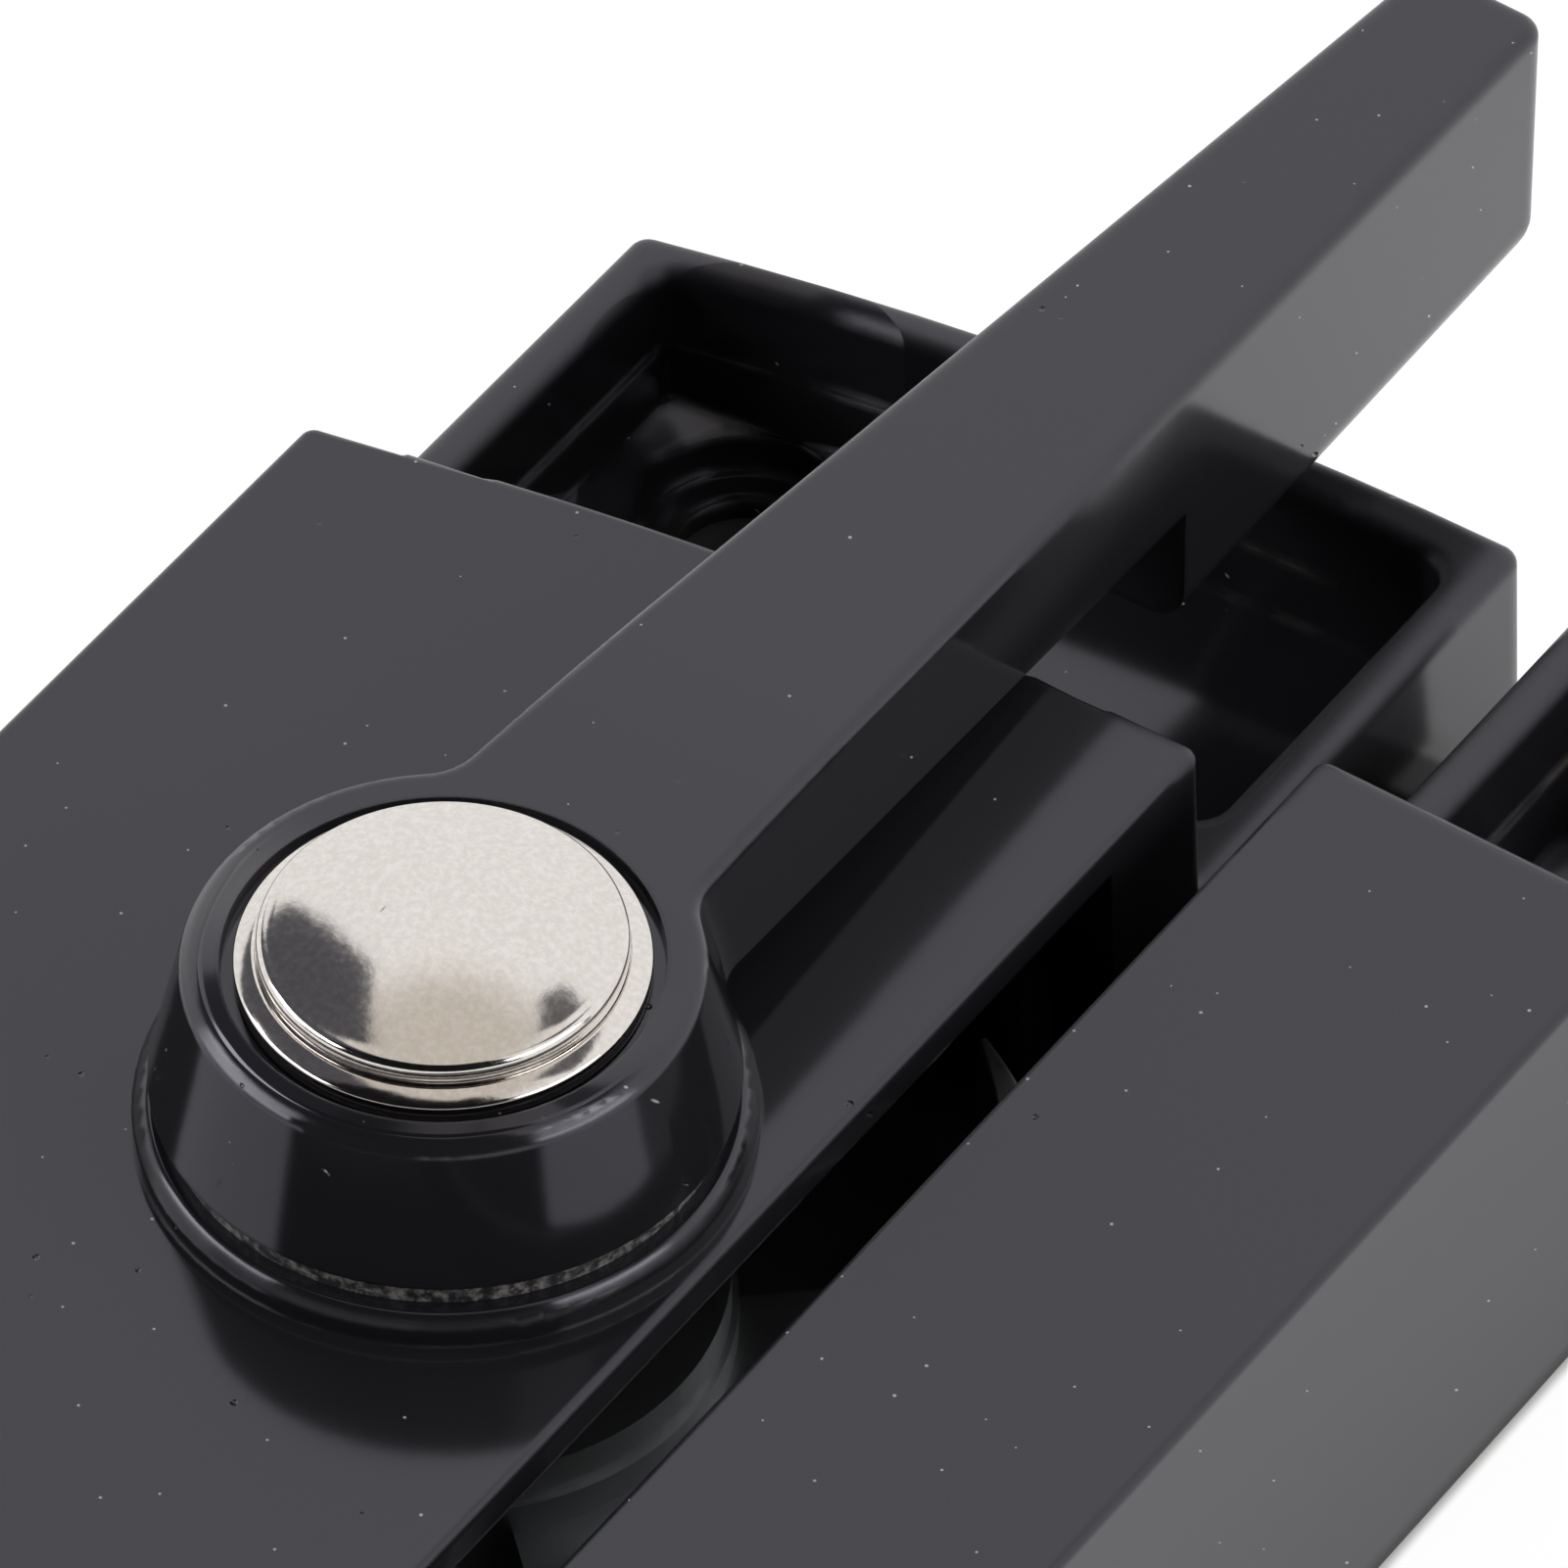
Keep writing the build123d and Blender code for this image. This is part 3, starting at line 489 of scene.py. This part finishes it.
# %% Rivet's head, shank and tail
washer_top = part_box("head_washer")[1][2]
recess_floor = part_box("head_washer")[0][2]
tail_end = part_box("pivot_rivet")[0][2]
head_radius, neck_radius, shank_radius = 5.34 * MM, 4.2 * MM, 3.0 * MM
rim_top, rim_fillet, dome_rise = washer_top + 0.94 * MM, 0.3 * MM, 0.95 * MM
tail_radius, tail_head_radius, tail_head_height = 1.95 * MM, 3.1 * MM, 0.8 * MM
cam_square_low, cam_square_high, lever_square_low = 4.6 * MM, 10.1 * MM, 16.05 * MM
dome_edge = head_radius - rim_fillet
dome_radius = (dome_edge ** 2 + dome_rise ** 2) / (2 * dome_rise)
dome_middle = (0, 0, rim_top + dome_rise - dome_radius)
dome_angle = math.asin(dome_edge / dome_radius)

mesh = bmesh.new()
side = [(0, recess_floor), (neck_radius, recess_floor), (neck_radius, washer_top), (head_radius, washer_top)]
for ring_height in (0.36, 0.5):
    side += [(head_radius, washer_top + (ring_height - 0.05) * MM),
             (head_radius - 0.1 * MM, washer_top + ring_height * MM),
             (head_radius, washer_top + (ring_height + 0.05) * MM)]
corner, dome_start = chain_of(mesh, side + [(head_radius, rim_top), (dome_edge, rim_top)])[-2:]
bmesh.ops.spin(mesh, geom=[dome_start], cent=dome_middle, axis=(0, 1, 0), angle=-dome_angle, steps=24)

# The rounding is a hair smaller than the edge it runs along, because at an edge's very end the operator
# would stop well short
bmesh.ops.bevel(mesh, geom=[corner], offset=0.999 * rim_fillet, offset_type="OFFSET", affect="VERTICES",
                segments=6, profile=0.5)
chain_of(mesh, [(0, cam_square_high), (shank_radius, cam_square_high), (shank_radius, lever_square_low),
                (0, lever_square_low)])
chain_of(mesh, [(0, tail_end), (tail_head_radius, tail_end), (tail_head_radius, tail_end + tail_head_height),
                (tail_radius, tail_end + tail_head_height), (tail_radius, cam_square_low), (0, cam_square_low)])
rivet = turned_piece(mesh, "rivet", "pivot_rivet")

# %% [markdown]
# ## The rivet's square lengths
#
# One square drives the lever and a smaller one drives the cam. They were milled on the round bar. Here each is
# a cube scaled to its length and turned as the lever's hole is, and joined to the rivet's mesh.

# %% Rivet's squares
hole_turn = Matrix.Rotation(math.radians(-1.3), 3, "Z")
mesh = bmesh.new()
mesh.from_mesh(rivet.data)
squares = ((6.0 * MM, lever_square_low, recess_floor), (4.1 * MM, cam_square_low, cam_square_high))
for width, low, high in squares:
    bar = bmesh.ops.create_cube(mesh, size=1.0)["verts"]
    bmesh.ops.scale(mesh, vec=(width, width, high - low), verts=bar)
    bmesh.ops.rotate(mesh, matrix=hole_turn, verts=bar)
    bmesh.ops.translate(mesh, vec=(0, 0, (low + high) / 2), verts=bar)
mesh.to_mesh(rivet.data)
mesh.free()
rivet.data.set_sharp_from_angle(angle=math.radians(40))
print("With its squares the rivet has", len(rivet.data.polygons), "faces")

# %% [markdown]
# ## The washer under the rivet's head
#
# The real washer rises like a shallow cone towards the head, and that slope is what catches the light all
# round it. The CAD's is flat. This one is spun like the rivet, from a section with small worn edges.

# %% Washer
mesh = bmesh.new()
bore, edge = 4.3 * MM, 6.0 * MM
section = [(bore, recess_floor), (edge - 0.08 * MM, recess_floor), (edge, recess_floor + 0.08 * MM),
           (edge, washer_top - 0.08 * MM), (edge - 0.02 * MM, washer_top - 0.03 * MM),
           (edge - 0.08 * MM, washer_top + 0.02 * MM), (5.5 * MM, washer_top + 0.2 * MM),
           (5.4 * MM, washer_top + 0.23 * MM), (5.36 * MM, washer_top + 0.22 * MM), (5.36 * MM, washer_top),
           (bore, washer_top)]
chain_of(mesh, section + section[:1])
turned_piece(mesh, "washer", "head_washer")

# %% [markdown]
# ## Zinc plate inside
#
# What hardly shows is cheaper. The cam, the base plate and the keeper's hook are zinc plated, which dulls to
# a cloudy grey with a fine grain, so one noise clouds the colour and a finer one roughens it.

# %% Zinc plate
material, tree, place = new_material("dull zinc plate")
grain = add_node(tree, "ShaderNodeTexNoise", Vector=place, Scale=1 / (0.4 * MM), Detail=4.0,
                 Roughness=0.6).outputs[0]
cloud = add_node(tree, "ShaderNodeTexNoise", Vector=place, Scale=1 / (5.0 * MM), Detail=3.0).outputs[0]
bump = add_node(tree, "ShaderNodeBump", Strength=0.5, Distance=0.01 * MM, Height=grain).outputs[0]
tone = mixed(tree, cloud, linear("#a2a4a7"), linear("#c4c6c8"))
rough = add_node(tree, "ShaderNodeMapRange", i0=grain, i3=0.28, i4=0.45).outputs[0]
zinc = add_node(tree, "ShaderNodeBsdfPrincipled", Base_Color=tone, Metallic=1.0, Roughness=rough, Normal=bump)
finish_material(tree, zinc)
dress(material, "crescent_cam", "clamp_washer", "base_plate", "plate_rivets", "keeper_hook")

# %% [markdown]
# ## Spring steel
#
# Both springs are blanked from rolled strip and oiled. Rolling leaves fine streaks along the strip, which are
# a noise drawn out one way.

# %% Spring steel
material, tree, place = new_material("oiled spring steel")
streak_place = add_node(tree, "ShaderNodeMapping", Vector=place, Scale=(1.0, 0.06, 1.0)).outputs[0]
streaks = add_node(tree, "ShaderNodeTexNoise", Vector=streak_place, Scale=1 / (0.15 * MM), Detail=3.0).outputs[0]
bump = add_node(tree, "ShaderNodeBump", Strength=0.4, Distance=0.004 * MM, Height=streaks).outputs[0]
tone = mixed(tree, streaks, linear("#5c5b5d"), linear("#7c7b7a"))
spring = add_node(tree, "ShaderNodeBsdfPrincipled", Base_Color=tone, Metallic=1.0, Roughness=0.3, Normal=bump)
finish_material(tree, spring)
dress(material, "disc_spring", "detent_spring")

# %% [markdown]
# ## Sintered bronze
#
# The bush is pressed from bronze powder. Its pores stay open to hold oil, so it is mottled and fairly dull.
# Small cells make both the pores' relief and their darker colour.

# %% Bronze
material, tree, place = new_material("sintered bronze")
pores = add_node(tree, "ShaderNodeTexVoronoi", Vector=place, Scale=1 / (0.25 * MM)).outputs["Distance"]
bump = add_node(tree, "ShaderNodeBump", Strength=0.6, Distance=0.02 * MM, Height=pores).outputs[0]
tone = mixed(tree, smooth_step(tree, pores, 0.1, 0.5), linear("#5d4122"), linear("#a47a47"))
bronze = add_node(tree, "ShaderNodeBsdfPrincipled", Base_Color=tone, Metallic=1.0, Roughness=0.42, Normal=bump)
finish_material(tree, bronze)
dress(material, "pivot_bush")

# %% [markdown]
# ## The friction washer
#
# Only its edge shows, in the groove under the hub, where fine grey dust has gathered on the black nylon. A
# noise with much fine detail gives the dust's patches and its rough feel.

# %% Nylon
material, tree, place = new_material("moulded black nylon")
dust = add_node(tree, "ShaderNodeTexNoise", Vector=place, Scale=1 / (0.3 * MM), Detail=5.0,
                Roughness=0.7).outputs[0]
bump = add_node(tree, "ShaderNodeBump", Strength=0.8, Distance=0.05 * MM, Height=dust).outputs[0]
tone = mixed(tree, smooth_step(tree, dust, 0.42, 0.66), linear("#262527"), linear("#8d8986"))
nylon = add_node(tree, "ShaderNodeBsdfPrincipled", Base_Color=tone, Roughness=0.5, IOR=1.53, Normal=bump)
finish_material(tree, nylon)
dress(material, "friction_washer")

# %% [markdown]
# ## The dressed lock's size
#
# The dressed lock's visual box is printed in millimetres. The dressed lock has to stay inside
# the CAD model's box.

# %% Sizes and finish
low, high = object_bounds()
print("Visual box in mm:", [round((b - a) / MM, 2) for a, b in zip(low, high)])
